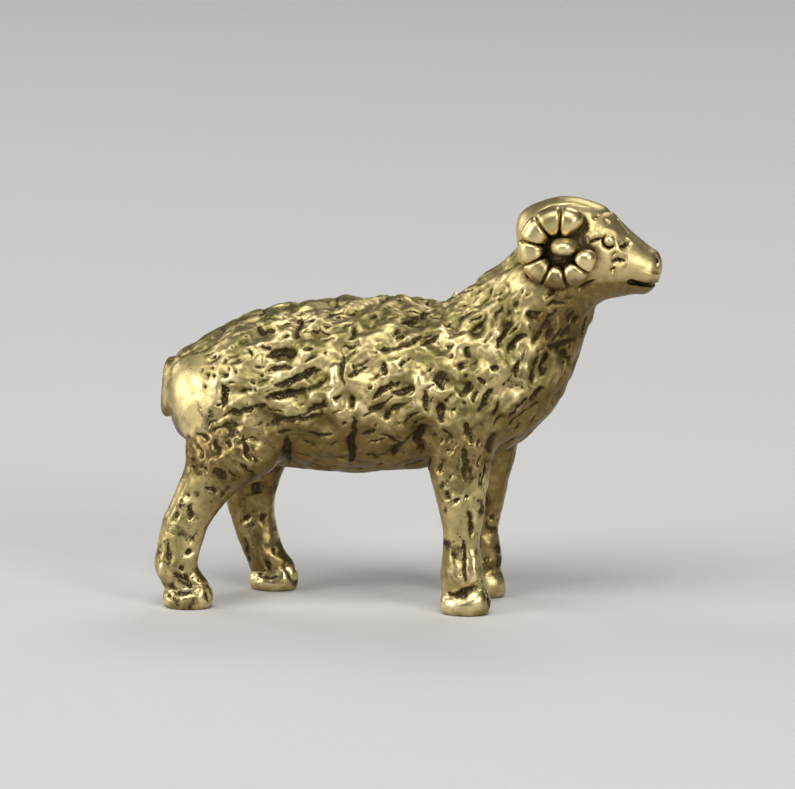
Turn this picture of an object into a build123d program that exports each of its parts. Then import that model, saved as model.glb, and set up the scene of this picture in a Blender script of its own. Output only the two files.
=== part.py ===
from build123d import *
import os
from collections import namedtuple
from math import cos, hypot, pi, radians, sin, sqrt

# A small standing ram in solid cast brass. The woolly body, the neck, the head, the curled
# horns, the ears, the eyes, the tail, the legs and the hooves are separate castings, joined
# on plain seats, in sockets and by round spigots. The ram faces +X, its right side is -Y,
# and +Z is up. All lengths are in millimetres and all angles in degrees.

# Barrel of the body, measured along its axis from the rump to the shoulder
AXIS_HEIGHT = 18.0
BODY_LENGTH = 23.5
RUMP_ROUNDING = 2.1
RUMP_DROP = 0.75
RUMP_DEPTH = 8.3
RUMP_WIDTH = 9.8
HIP_FORWARD = 3.75
HIP_DROP = 0.4
HIP_DEPTH = 11.7
HIP_WIDTH = 12.0
LOIN_FORWARD = 8.7
LOIN_DEPTH = 13.6
LOIN_WIDTH = 12.6
RIB_FORWARD = 14.1
RIB_DEPTH = 14.3
RIB_WIDTH = 12.9
GIRTH_FORWARD = 18.8
GIRTH_DEPTH = 14.0
GIRTH_WIDTH = 12.5
SHOULDER_DEPTH = 13.0
SHOULDER_WIDTH = 11.8
SHOULDER_LEAN = 27.0
SHOULDER_RISE = 1.2
SHOULDER_EASE = 1.5

# Neck, which rises from the shoulder to the head
NECK_ROOT_FORWARD = 2.5
NECK_ROOT_RISE = 2.15
NECK_ROOT_LEAN = 44.0
NECK_ROOT_DEPTH = 12.0
NECK_ROOT_WIDTH = 10.2
NECK_LEAN = 53.0
NECK_LENGTH = 7.6
NECK_MIDDLE_SETBACK = 0.25
NECK_MIDDLE_DEPTH = 9.8
NECK_MIDDLE_WIDTH = 8.4
NECK_TOP_SETBACK = 0.5
NECK_TOP_DEPTH = 7.5
NECK_TOP_WIDTH = 6.8

# Fleece of the body and neck, which is tufts in staggered rows that sway and drift
TUFT_RISE = 0.2
CREASE_DEPTH = 0.38
TUFTS_ROUND = 11
ROW_PITCH = 2.3
ROW_SWAY = 4.0
SWAY_LENGTH = 15.0
ROW_DRIFT = 0.6
DRIFTS_ROUND = 3
BARE_RUMP = 2.0
FLEECE_FADE = 2.5
BELLY_SHARE = 0.5

# Head, placed from the middle of the neck's top
POLL_FORWARD = 0.3
POLL_RISE = 1.8
SKULL_DEPTH = 9.0
SKULL_WIDTH = 6.6
NAPE_SETBACK = 2.1
NAPE_RISE = 0.3
NAPE_LEAN = 16.0
NAPE_DEPTH = 6.7
NAPE_WIDTH = 5.4
NAPE_ROUNDING = 1.6
FACE_LENGTH = 6.6
FACE_DROP = 1.55
FACE_LEAN = -17.0
BROW_FORWARD = 2.4
BROW_DEPTH = 8.7
BROW_WIDTH = 6.2
CHEEK_FORWARD = 4.5
CHEEK_DEPTH = 6.0
CHEEK_WIDTH = 4.9
MUZZLE_DEPTH = 4.0
MUZZLE_WIDTH = 3.9
MUZZLE_ROUNDING = 1.4

# Mouth, a slit round the muzzle, and nostrils
MOUTH_LENGTH = 2.6
MOUTH_GAP = 0.3
MOUTH_GROOVE = 0.5
MOUTH_BELOW_AXIS = 0.7
MOUTH_LEAN = -9.0
NOSTRIL_LENGTH = 0.9
NOSTRIL_WIDTH = 0.4
NOSTRIL_SPACING = 1.9
NOSTRIL_SLANT = 30.0
NOSTRIL_ABOVE_AXIS = 0.75

# Eyes, which are round beads in sockets
EYE_DIAMETER = 0.95
EYE_FORWARD = 3.95
EYE_RISE = 1.15
EYE_SINK = 0.12

# Horns, which curl round the ears
CURL_RADIUS = 2.35
CURL_START = 47.0
CURL_RISE = 0.5
RIDGES = 8
RIDGE_PITCH = 39.5
HORN_ROOT_DIAMETER = 2.2
HORN_TIP_DIAMETER = 1.5
GROOVE_DEPTH = 0.3
HORN_OUTSET = 0.1
HORN_SPREAD = 0.9

# Ears, each a lobe that stands out of the horn's curl
EAR_LENGTH = 2.9
EAR_BREADTH = 2.1
EAR_THICKNESS = 1.45
EAR_FORWARD = 0.45
EAR_RISE = 0.75
EAR_SINK = 1.0

# Tail, a short flap on the rump
TAIL_LENGTH = 2.6
TAIL_WIDTH = 2.4
TAIL_THICKNESS = 1.1
TAIL_TOP_RISE = 0.9
TAIL_STANDOFF = 0.2
TAIL_LEAN = 5.0

# Forelegs, placed from the shoulder and measured up from the ground
FORE_BACK = 0.5
FORE_SPREAD = 7.4
FORE_STEP = 0.4
FORE_REACH = 1.2
UPPER_ARM_LENGTH = 6.6
UPPER_ARM_WIDTH = 4.0
UPPER_ARM_FORWARD = 0.3
ELBOW_LENGTH = 5.4
ELBOW_FORWARD = 0.1
FOREARM = 5.4
KNEE_LENGTH = 3.3
KNEE_WIDTH = 3.0
KNEE_FORWARD = 0.1
FORE_CANNON = 4.0
FORE_CANNON_LENGTH = 3.05
FORE_FOOT_FORWARD = 0.1

# Hind legs, placed from the rump and measured up from the ground
HIND_FORWARD = 3.6
HIND_SPREAD = 8.6
HIND_STEP = 5.7
HIND_STEP_EASE = 0.75
HAUNCH_LENGTH = 9.0
HAUNCH_WIDTH = 4.6
HAUNCH_INSET = 1.1
STIFLE_LENGTH = 7.8
STIFLE_FORWARD = 0.3
GASKIN = 5.0
GASKIN_LENGTH = 5.2
GASKIN_BACK = 0.7
HOCK_LENGTH = 4.1
HOCK_WIDTH = 2.9
HOCK_BACK = 1.6
HIND_CANNON = 4.0
HIND_CANNON_LENGTH = 3.7
HIND_CANNON_BACK = 1.75
HIND_FETLOCK_BACK = 1.6
HIND_FOOT_BACK = 0.75

# Pasterns and hooves, alike on all four legs
CANNON_WIDTH = 2.7
PASTERN = 1.65
FETLOCK_LENGTH = 3.6
FETLOCK_WIDTH = 3.0
HOOF_HEIGHT = 1.75
HOOF_LENGTH = 4.2
HOOF_WIDTH = 3.2
HOOF_LEDGE = 0.25
HOOF_SWELL = 0.1
CORONET_LEAN = 10.0
CLEFT_WIDTH = 0.35
CLEFT_LENGTH = 1.6

# Spigots, and the play in their bores
LEG_SPIGOT_DIAMETER = 2.0
NECK_SPIGOT_DIAMETER = 4.0
HEAD_SPIGOT_DIAMETER = 3.0
SPIGOT_LENGTH = 2.4
SPIGOT_ROOT = 1.2
SPIGOT_PLAY = 0.03

# Spacing of the sections that the long forms are lofted through, and of the points round the fleece
SPINE_STEP = 0.75
POINTS_TO_A_TUFT = 8
HEAD_STEP = 1.1
LEG_STEP = 1.3
ROUNDING_TURNS = (25, 46, 63, 76)

RIGHT, LEFT = -1, 1
UPRIGHT = 90.0
OVERSIZE = 60.0

Section = namedtuple("Section", "x y z lean depth width")


def section_plane(s):
    """The plane of a section: its normal points forward, raised by the lean."""
    normal = (cos(radians(s.lean)), 0, sin(radians(s.lean)))
    return Plane(origin=(s.x, s.y, s.z), x_dir=(0, 1, 0), z_dir=normal)


def oval_on(plane, width, depth):
    """An oval face on a plane, as four quarter arcs."""
    arcs = [Edge.make_ellipse(width / 2, depth / 2, plane, a, a + 90) for a in (0, 90, 180, 270)]
    return Face(Wire(arcs))


def oval(s):
    """The oval face of a section."""
    return oval_on(section_plane(s), s.width, s.depth)


def distances(stations):
    """How far along a run of stations each one lies."""
    reach = [0.0]
    for a, b in zip(stations, stations[1:]):
        reach.append(reach[-1] + hypot(b.x - a.x, b.y - a.y, b.z - a.z))
    return reach


def even_distances(start, end, step):
    """Distances from a start to an end in even steps."""
    count = round((end - start) / step)
    return [start + (end - start) * n / count for n in range(count + 1)]


def sections_at(stations, places):
    """Sections at some distances along a run of stations, on a smooth curve through all of them."""
    reach = distances(stations)
    last = len(stations) - 1

    def slope(i):
        before, after = max(i - 1, 0), min(i + 1, last)
        run = reach[after] - reach[before]
        return [(q - p) / run for p, q in zip(stations[before], stations[after])]

    sections = []
    for distance in places:
        i = max(k for k in range(last) if reach[k] <= distance)
        run = reach[i + 1] - reach[i]
        t = (distance - reach[i]) / run
        fields = []
        for p, q, m, k in zip(stations[i], stations[i + 1], slope(i), slope(i + 1)):
            between = (1 + 2 * t) * (1 - t) ** 2 * p + t**2 * (3 - 2 * t) * q
            fields.append(between + run * t * (1 - t) * ((1 - t) * m - t * k))
        sections.append(Section(*fields))
    return sections


def even_sections(stations, step):
    """Sections at even steps along a run of stations."""
    return sections_at(stations, even_distances(0, distances(stations)[-1], step))


def rounded_end(s, reach):
    """Sections that shrink to a small blunt end, backward if the reach is negative."""
    sections = []
    for turn in ROUNDING_TURNS:
        ahead = reach * sin(radians(turn))
        shrink = cos(radians(turn))
        moved = s._replace(
            x=s.x + ahead * cos(radians(s.lean)),
            z=s.z + ahead * sin(radians(s.lean)),
            depth=s.depth * shrink,
            width=s.width * shrink,
        )
        sections.append(moved)
    return sections


def fade_in(distance):
    """How much of the fleece there is at a distance past its edge, from none to all."""
    share = min(1, max(0, distance / FLEECE_FADE))
    return share**2 * (3 - 2 * share)


def tuft_height(angle, distance, length):
    """Height of the fleece at an angle round the spine and a distance along it, below 0 in the creases."""
    sway = radians(ROW_SWAY) * sin(2 * pi * distance / SWAY_LENGTH)
    drift = ROW_DRIFT * sin(DRIFTS_ROUND * angle)
    wave = cos(TUFTS_ROUND * (angle + sway)) * cos(pi * (distance + drift) / ROW_PITCH)
    crease = ((1 - wave) / 2) ** 2
    cover = fade_in(distance - BARE_RUMP) * fade_in(length - distance)
    belly = 1 + (1 - BELLY_SHARE) * min(0, sin(angle))
    return (TUFT_RISE - (TUFT_RISE + CREASE_DEPTH) * crease) * cover * belly


def fleece_outline(s, distance, length):
    """The face of a section of the spine, an oval that swells in and out with the tufts, as four arcs."""
    plane = section_plane(s)
    points_to_an_arc = TUFTS_ROUND * POINTS_TO_A_TUFT // 4

    def point(n):
        angle = pi / 2 * n / points_to_an_arc
        across, upward = cos(angle) / s.width, sin(angle) / s.depth
        height = tuft_height(angle, distance, length) / hypot(across, upward)
        x = s.width / 2 * cos(angle) + height * across
        y = s.depth / 2 * sin(angle) + height * upward
        return plane.from_local_coords(Vector(x, y))

    knots = list(range(points_to_an_arc + 1))
    arcs = []
    for quarter in range(4):
        first = quarter * points_to_an_arc
        last = first + points_to_an_arc
        points = [point(n) for n in range(first, last + 1)]
        headings = [(point(n + 1) - point(n - 1)) / 2 for n in (first, last)]
        arcs.append(Edge.make_spline(points, headings, parameters=knots, scale=False))
    return Face(Wire(arcs))


def half_space(plane):
    """A block that fills the side of a plane that its normal points to."""
    return plane * Box(OVERSIZE, OVERSIZE, OVERSIZE, align=(Align.CENTER, Align.CENTER, Align.MIN))


def spigot(plane, diameter, play=0):
    """A round spigot that reaches back from a seat, or its bore, and runs on into its own piece."""
    length = SPIGOT_LENGTH + SPIGOT_ROOT + play
    start = plane.offset(-SPIGOT_LENGTH - play)
    return start * Cylinder(diameter / 2 + play, length, align=(Align.CENTER, Align.CENTER, Align.MIN))


def seated(form, *carriers):
    """A form cut to lie on the pieces that carry it: what stays outside of them, as one solid."""
    outside = form - list(carriers)
    return max(outside.solids(), key=lambda solid: solid.volume)


# Stations of the spine, from the rump to the top of the neck; the shoulder stands over X = 0
shoulder = Section(0, 0, AXIS_HEIGHT + SHOULDER_RISE, SHOULDER_LEAN, SHOULDER_DEPTH, SHOULDER_WIDTH)


def along_barrel(forward, drop, depth, width):
    """A section of the barrel, at a distance forward of the rump."""
    rise = max(0, 2 * forward / BODY_LENGTH - 1) ** SHOULDER_EASE
    z = AXIS_HEIGHT - drop + rise * SHOULDER_RISE
    return Section(forward - BODY_LENGTH, 0, z, rise * SHOULDER_LEAN, depth, width)


def along_neck(distance, setback, lean, depth, width):
    """A section of the neck, at a distance from its root and set back from its axis."""
    x = shoulder.x + NECK_ROOT_FORWARD + distance * cos(radians(NECK_LEAN))
    z = shoulder.z + NECK_ROOT_RISE + distance * sin(radians(NECK_LEAN))
    x -= setback * sin(radians(NECK_LEAN))
    z += setback * cos(radians(NECK_LEAN))
    return Section(x, 0, z, lean, depth, width)


rump = along_barrel(0, RUMP_DROP, RUMP_DEPTH, RUMP_WIDTH)
hip = along_barrel(HIP_FORWARD, HIP_DROP, HIP_DEPTH, HIP_WIDTH)
loin = along_barrel(LOIN_FORWARD, 0, LOIN_DEPTH, LOIN_WIDTH)
ribs = along_barrel(RIB_FORWARD, 0, RIB_DEPTH, RIB_WIDTH)
girth = along_barrel(GIRTH_FORWARD, 0, GIRTH_DEPTH, GIRTH_WIDTH)
neck_root = along_neck(0, 0, NECK_ROOT_LEAN, NECK_ROOT_DEPTH, NECK_ROOT_WIDTH)
neck_middle = along_neck(
    NECK_LENGTH / 2, NECK_MIDDLE_SETBACK, NECK_LEAN, NECK_MIDDLE_DEPTH, NECK_MIDDLE_WIDTH
)
neck_top = along_neck(NECK_LENGTH, NECK_TOP_SETBACK, NECK_LEAN, NECK_TOP_DEPTH, NECK_TOP_WIDTH)
neck_seat = section_plane(neck_root)
head_seat = section_plane(neck_top)

# Stations of the head, from the nape to the muzzle
skull = Section(neck_top.x + POLL_FORWARD, 0, neck_top.z + POLL_RISE, 0, SKULL_DEPTH, SKULL_WIDTH)
nape = Section(skull.x - NAPE_SETBACK, 0, skull.z + NAPE_RISE, NAPE_LEAN, NAPE_DEPTH, NAPE_WIDTH)


def along_face(forward, depth, width):
    """A section of the face, at a distance forward of the skull."""
    share = forward / FACE_LENGTH
    lean = min(1, 2 * share) * FACE_LEAN
    return Section(skull.x + forward, 0, skull.z - share * FACE_DROP, lean, depth, width)


brow = along_face(BROW_FORWARD, BROW_DEPTH, BROW_WIDTH)
cheek = along_face(CHEEK_FORWARD, CHEEK_DEPTH, CHEEK_WIDTH)
muzzle = along_face(FACE_LENGTH, MUZZLE_DEPTH, MUZZLE_WIDTH)


SPINE = [rump, hip, loin, ribs, girth, shoulder, neck_root, neck_middle, neck_top]


def fleece_outlines(first, last):
    """Outlines of the fleece at even steps from one station of the spine to another."""
    reach = distances(SPINE)
    places = even_distances(reach[SPINE.index(first)], reach[SPINE.index(last)], SPINE_STEP)
    sections = sections_at(SPINE, places)
    return [fleece_outline(s, place, reach[-1]) for s, place in zip(sections, places)]


def make_barrel():
    """The body up to the neck's seat, before the bores are made in it."""
    rear = [fleece_outline(s, 0, BODY_LENGTH) for s in rounded_end(rump, -RUMP_ROUNDING)[::-1]]
    return loft([*rear, *fleece_outlines(rump, neck_root)])


def make_skull():
    """The skull and face, before the mouth is cut and the eyes, ears and horns are let in."""
    back = rounded_end(nape, -NAPE_ROUNDING)[::-1]
    front = rounded_end(muzzle, MUZZLE_ROUNDING)
    stations = [nape, skull, brow, cheek, muzzle]
    return loft([oval(s) for s in [*back, *even_sections(stations, HEAD_STEP), *front]])


barrel = make_barrel()
woolly_neck = loft(fleece_outlines(neck_root, neck_top))
whole_head = make_skull()


def side_of_head(x, z):
    """How far from the middle plane the head's surface lies at a point of its side."""
    hits = whole_head.find_intersection_points(Axis((x, OVERSIZE, z), (0, -1, 0)))
    return max(point.Y for point, normal in hits)


def front_of_head(y, z):
    """How far forward the muzzle reaches at a point of its front."""
    hits = whole_head.find_intersection_points(Axis((OVERSIZE, y, z), (-1, 0, 0)))
    return max(point.X for point, normal in hits)


def belly_height(s, y):
    """How high above the ground the underside of a barrel section lies, off the middle plane."""
    return s.z - s.depth / 2 * sqrt(1 - (2 * y / s.width) ** 2)


def mouth():
    """The slit of the mouth, a thin slab round the muzzle that leaves the inside whole."""
    corner = muzzle.x + MUZZLE_ROUNDING - MOUTH_LENGTH
    height = muzzle.z - MOUTH_BELOW_AXIS
    plane = Plane(
        origin=(corner, 0, height),
        x_dir=(cos(radians(MOUTH_LEAN)), 0, sin(radians(MOUTH_LEAN))),
        z_dir=(-sin(radians(MOUTH_LEAN)), 0, cos(radians(MOUTH_LEAN))),
    )
    slab = plane * Box(OVERSIZE, OVERSIZE, MOUTH_GAP, align=(Align.MIN, Align.CENTER, Align.CENTER))
    inner_width = 2 * (side_of_head(corner, height) - MOUTH_GROOVE)
    inner = oval_on(plane, 2 * (MOUTH_LENGTH - MOUTH_GROOVE), inner_width)
    return slab - extrude(inner, MOUTH_GAP, both=True)


def nostril(side):
    """A nostril, a shallow slanting dent on the front of the muzzle."""
    y = side * NOSTRIL_SPACING / 2
    z = muzzle.z + NOSTRIL_ABOVE_AXIS
    dent = scale(Sphere(1), by=(NOSTRIL_WIDTH, NOSTRIL_WIDTH / 2, NOSTRIL_LENGTH / 2))
    return Pos(front_of_head(y, z), y, z) * Rot(side * NOSTRIL_SLANT, 0, 0) * dent


def ear(side):
    """An ear, a rounded lobe let into the head."""
    x = skull.x + EAR_FORWARD
    z = skull.z + EAR_RISE
    y = side_of_head(x, z) + EAR_LENGTH / 2 - EAR_SINK
    lobe = scale(Sphere(1), by=(EAR_BREADTH / 2, EAR_LENGTH / 2, EAR_THICKNESS / 2))
    return Pos(x, side * y, z) * lobe


def eye(side):
    """An eye, a bead that sits a little more than half sunk in its socket."""
    x = skull.x + EYE_FORWARD
    z = skull.z + EYE_RISE
    return Pos(x, side * (side_of_head(x, z) - EYE_SINK), z) * Sphere(EYE_DIAMETER / 2)


def horn(side):
    """A horn that curls round the ear on the side of the head: a chain of swells that meet in grooves."""
    swells = []
    half_pitch = CURL_RADIUS * radians(RIDGE_PITCH) / 2
    for n in range(RIDGES):
        share = n / (RIDGES - 1)
        radius = (HORN_ROOT_DIAMETER + share * (HORN_TIP_DIAMETER - HORN_ROOT_DIAMETER)) / 2
        half_length = half_pitch / sqrt(1 - (1 - GROOVE_DEPTH / radius) ** 2)
        turn = CURL_START + (n + 0.5) * RIDGE_PITCH
        x = skull.x + CURL_RADIUS * cos(radians(turn))
        y = SKULL_WIDTH / 2 + HORN_OUTSET + (share - 0.5) * HORN_SPREAD
        z = skull.z + CURL_RISE + CURL_RADIUS * sin(radians(turn))
        swell = scale(Sphere(1), by=(radius, radius, half_length))
        swells.append(Pos(x, side * y, z) * Rot(0, -turn, 0) * swell)
    return seated(swells[0].fuse(*swells[1:]), whole_head, woolly_neck)


def tail_form():
    """The tail, a flat lobe with round ends that hangs down the rump."""
    lean = -UPRIGHT - TAIL_LEAN
    x = rump.x - RUMP_ROUNDING - TAIL_STANDOFF + TAIL_LENGTH * sin(radians(TAIL_LEAN))
    top = Section(x, 0, AXIS_HEIGHT + TAIL_TOP_RISE, lean, TAIL_THICKNESS, TAIL_WIDTH)
    bottom = top._replace(
        x=top.x - TAIL_LENGTH * sin(radians(TAIL_LEAN)),
        z=top.z - TAIL_LENGTH * cos(radians(TAIL_LEAN)),
    )
    upper_end = rounded_end(top, -TAIL_WIDTH / 2)[::-1]
    lower_end = rounded_end(bottom, TAIL_WIDTH / 2)
    return loft([oval(s) for s in [*upper_end, top, bottom, *lower_end]])


def foot_section(x, y):
    """The sloping section where a leg ends on its hoof."""
    length = HOOF_LENGTH - 2 * HOOF_LEDGE
    width = HOOF_WIDTH - 2 * HOOF_LEDGE
    return Section(x, y, HOOF_HEIGHT, UPRIGHT + CORONET_LEAN, length, width)


def foreleg_stations(side):
    """Stations of a foreleg, from inside the shoulder down to its hoof."""
    x = shoulder.x - FORE_BACK
    y = side * FORE_SPREAD / 2
    fetlock = HOOF_HEIGHT + PASTERN
    knee = fetlock + FORE_CANNON
    elbow = knee + FOREARM

    def station(forward, height, length, width):
        stretch = min(1, (height - HOOF_HEIGHT) / (elbow - HOOF_HEIGHT))
        swing = side / 2 * (FORE_STEP + stretch * (FORE_REACH - FORE_STEP))
        return Section(x + forward + swing, y, height, UPRIGHT, length, width)

    return [
        station(UPPER_ARM_FORWARD, AXIS_HEIGHT, UPPER_ARM_LENGTH, UPPER_ARM_WIDTH),
        station(ELBOW_FORWARD, elbow, ELBOW_LENGTH, UPPER_ARM_WIDTH),
        station(KNEE_FORWARD, knee, KNEE_LENGTH, KNEE_WIDTH),
        station(0, (knee + fetlock) / 2, FORE_CANNON_LENGTH, CANNON_WIDTH),
        station(0, fetlock, FETLOCK_LENGTH, FETLOCK_WIDTH),
        foot_section(x + FORE_FOOT_FORWARD + side * FORE_STEP / 2, y),
    ]


def hindleg_stations(side):
    """Stations of a hind leg, from inside the haunch down to its hoof."""
    x = rump.x + HIND_FORWARD
    y = side * HIND_SPREAD / 2
    fetlock = HOOF_HEIGHT + PASTERN
    hock = fetlock + HIND_CANNON
    stifle = hock + GASKIN

    def station(forward, height, length, width, inset=0):
        stretch = min(1, max(0, (stifle - height) / (stifle - fetlock)))
        swing = side * HIND_STEP / 2 * stretch**HIND_STEP_EASE
        return Section(x + forward + swing, y - side * inset, height, UPRIGHT, length, width)

    return [
        station(0, AXIS_HEIGHT, HAUNCH_LENGTH, HAUNCH_WIDTH, HAUNCH_INSET),
        station(STIFLE_FORWARD, stifle, STIFLE_LENGTH, HAUNCH_WIDTH),
        station(-GASKIN_BACK, (stifle + hock) / 2, GASKIN_LENGTH, (HAUNCH_WIDTH + HOCK_WIDTH) / 2),
        station(-HOCK_BACK, hock, HOCK_LENGTH, HOCK_WIDTH),
        station(-HIND_CANNON_BACK, (hock + fetlock) / 2, HIND_CANNON_LENGTH, CANNON_WIDTH),
        station(-HIND_FETLOCK_BACK, fetlock, FETLOCK_LENGTH, FETLOCK_WIDTH),
        foot_section(x - HIND_FOOT_BACK + side * HIND_STEP / 2, y),
    ]


def leg(stations):
    """A leg lofted down through its stations."""
    return loft([oval(s) for s in even_sections(stations, LEG_STEP)])


def leg_seat(joint, section):
    """The level plane where a leg's spigot enters the underside of the barrel."""
    return Plane(
        origin=(joint.x, joint.y, belly_height(section, joint.y)), x_dir=(0, 1, 0), z_dir=(0, 0, -1)
    )


def hoof(foot):
    """A cloven hoof under a leg's end: flat sole, swelling wall, sloping top and a cleft in front."""
    middle = foot._replace(z=HOOF_HEIGHT / 2, lean=UPRIGHT + CORONET_LEAN / 2)
    middle = middle._replace(x=foot.x + HOOF_SWELL, depth=HOOF_LENGTH, width=HOOF_WIDTH)
    sole = foot._replace(x=foot.x + HOOF_SWELL, z=0, lean=UPRIGHT)
    form = loft([oval(sole), oval(middle), oval(foot)])
    cleft = Pos(middle.x + HOOF_LENGTH / 2, foot.y, 0) * Box(2 * CLEFT_LENGTH, CLEFT_WIDTH, OVERSIZE)
    return form - cleft


parts = {}
torso = barrel - spigot(neck_seat, NECK_SPIGOT_DIAMETER, SPIGOT_PLAY)
neck = woolly_neck + spigot(neck_seat, NECK_SPIGOT_DIAMETER)
neck -= spigot(head_seat, HEAD_SPIGOT_DIAMETER, SPIGOT_PLAY)
head = (whole_head & half_space(head_seat)) + spigot(head_seat, HEAD_SPIGOT_DIAMETER)
head -= mouth()
for side, name in ((RIGHT, "right"), (LEFT, "left")):
    parts[f"{name}_horn"] = horn(side)
    parts[f"{name}_ear"] = ear(side)
    parts[f"{name}_eye"] = eye(side)
    head = head - nostril(side) - parts[f"{name}_eye"] - parts[f"{name}_ear"]
    for end, stations, section in (
        ("fore", foreleg_stations(side), shoulder),
        ("hind", hindleg_stations(side), hip),
    ):
        seat = leg_seat(stations[1], section)
        torso -= spigot(seat, LEG_SPIGOT_DIAMETER, SPIGOT_PLAY)
        limb = seated(leg(stations), barrel, woolly_neck)
        parts[f"{name}_{end}leg"] = limb + spigot(seat, LEG_SPIGOT_DIAMETER)
        parts[f"{name}_{end}_hoof"] = hoof(stations[-1])
parts["tail"] = seated(tail_form(), barrel)
parts["torso"] = torso
parts["neck"] = neck
parts["head"] = head

# The origin is on the ground, under the middle of the figure
extent = Compound(list(parts.values())).bounding_box()
to_origin = Pos(-extent.center().X, 0, 0)
os.makedirs("parts", exist_ok=True)
for name, shape in parts.items():
    export_step(to_origin * shape, f"parts/{name}.step")
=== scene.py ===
from math import cos, pi, radians, sin, sqrt

import bpy
import numpy as np
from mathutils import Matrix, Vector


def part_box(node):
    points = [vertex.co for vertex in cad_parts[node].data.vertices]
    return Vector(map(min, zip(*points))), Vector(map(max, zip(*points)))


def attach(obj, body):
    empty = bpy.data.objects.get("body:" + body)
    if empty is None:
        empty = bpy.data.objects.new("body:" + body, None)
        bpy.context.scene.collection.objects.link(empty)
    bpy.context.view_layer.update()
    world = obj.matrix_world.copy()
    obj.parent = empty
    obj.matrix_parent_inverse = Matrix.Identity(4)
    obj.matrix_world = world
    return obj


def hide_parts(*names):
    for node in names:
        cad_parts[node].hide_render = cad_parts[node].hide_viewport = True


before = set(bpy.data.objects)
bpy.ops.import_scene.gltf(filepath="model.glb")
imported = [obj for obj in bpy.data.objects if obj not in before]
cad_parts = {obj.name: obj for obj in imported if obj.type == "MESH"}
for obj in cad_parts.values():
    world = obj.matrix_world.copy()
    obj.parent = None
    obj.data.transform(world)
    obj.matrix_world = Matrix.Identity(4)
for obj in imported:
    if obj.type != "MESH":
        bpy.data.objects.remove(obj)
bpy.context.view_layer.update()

import openvdb
from mathutils import Vector
from mathutils.bvhtree import BVHTree

# The looks of a small antique brass ram. Every piece stands for one solid of the frame. The solids are
# read as distance fields, blended where the casting runs on without a seam, and carved with fleece,
# creases and wear. All lengths here are in millimetres until a mesh is made.
# The colour holds patina in the hollows, rubbing with painted highlight on raised places, and painted
# shade.
MM = 0.001
rng = np.random.default_rng(20)

# The camera of the photograph, and its frame in pixels
AZIMUTH, ELEVATION = radians(8), radians(9)
DISTANCE = 380.0
PIXEL = 0.082
AIM = np.array([-0.1, 0, 17.0])
AIM_PX = (408.0, 399.2)
FRAME_PX = (795, 789)
BACK = np.array([sin(AZIMUTH) * cos(ELEVATION), -cos(AZIMUTH) * cos(ELEVATION), sin(ELEVATION)])
ACROSS = np.array([cos(AZIMUTH), sin(AZIMUTH), 0])
UP = np.cross(BACK, ACROSS)
EYE_POINT = AIM + DISTANCE * BACK


def sight(px, py):
    """The direction from the camera through a pixel of the photograph."""
    line = -DISTANCE * BACK + (px - AIM_PX[0]) * PIXEL * ACROSS + (AIM_PX[1] - py) * PIXEL * UP
    return line / np.linalg.norm(line)


# The axis of the neck
NECK_FOOT = np.array([8.15, 0, 21.35])
NECK_LINE = np.array([cos(radians(53)), 0, sin(radians(53))])

# Distance fields of the solids: how far they reach, the room round a piece, and the spacing of samples
BAND = 1.6
ROOM = 1.0
BODY_VOXEL, DETAIL_VOXEL, FIGURE_VOXEL = 0.22, 0.11, 0.25
# How far a piece runs on under its neighbour, and how far it dips there
LAP, DIP = 0.3, 0.14
LEGS = [f"{side}_{end}leg" for side in ("right", "left") for end in ("fore", "hind")]
HOOVES = [f"{side}_{end}_hoof" for side in ("right", "left") for end in ("fore", "hind")]
BODY = ["torso", "neck", *LEGS, "tail", "head", *HOOVES]
# How far each solid's surface runs into the ones before it
BLEND = {"torso": 0.08, "neck": 0.08, "tail": 0.7, "head": 0.9}
BLEND.update({name: 0.9 for name in LEGS})
BLEND.update({name: 0.1 for name in HOOVES})
SET_IN = [f"{side}_{what}" for side in ("right", "left") for what in ("eye", "ear")]
VOXEL = {"torso": BODY_VOXEL, "neck": BODY_VOXEL, "tail": BODY_VOXEL, "head": DETAIL_VOXEL}
VOXEL.update({name: BODY_VOXEL for name in LEGS})
VOXEL.update({name: DETAIL_VOXEL for name in HOOVES})
DIVIDED = ["torso", "neck", "tail", "head", *LEGS]
# The sockets of the eyes and ears are filled to a little under them
SOCKET_DEPTH, SOCKET_BLEND = 0.1, 0.05
# Where the nape is evened out, behind the cheek and up the neck
NAPE_FRONT = (16.2, 15.0)
NAPE_HEIGHT = (3.0, 5.0)
NAPE_ROUNDS = 8


def solid_mesh(name):
    """The points and triangles of a solid, in millimetres."""
    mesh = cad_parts[name].data
    points = np.empty(len(mesh.vertices) * 3, np.float32)
    mesh.vertices.foreach_get("co", points)
    mesh.calc_loop_triangles()
    corners = np.empty(len(mesh.loop_triangles) * 3, np.int32)
    mesh.loop_triangles.foreach_get("vertices", corners)
    return points.reshape(-1, 3) / np.float32(MM), corners.reshape(-1, 3)


SOLIDS = {name: solid_mesh(name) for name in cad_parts}
shells = {}


def shell(name, voxel):
    """The distances near the surface of a solid."""
    if (name, voxel) not in shells:
        points, corners = SOLIDS[name]
        shells[name, voxel] = openvdb.FloatGrid.createLevelSetFromPolygons(
            points,
            triangles=corners.astype(np.uint32),
            transform=openvdb.createLinearTransform(voxelSize=voxel),
            halfWidth=BAND / voxel,
        )
    return shells[name, voxel]


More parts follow.
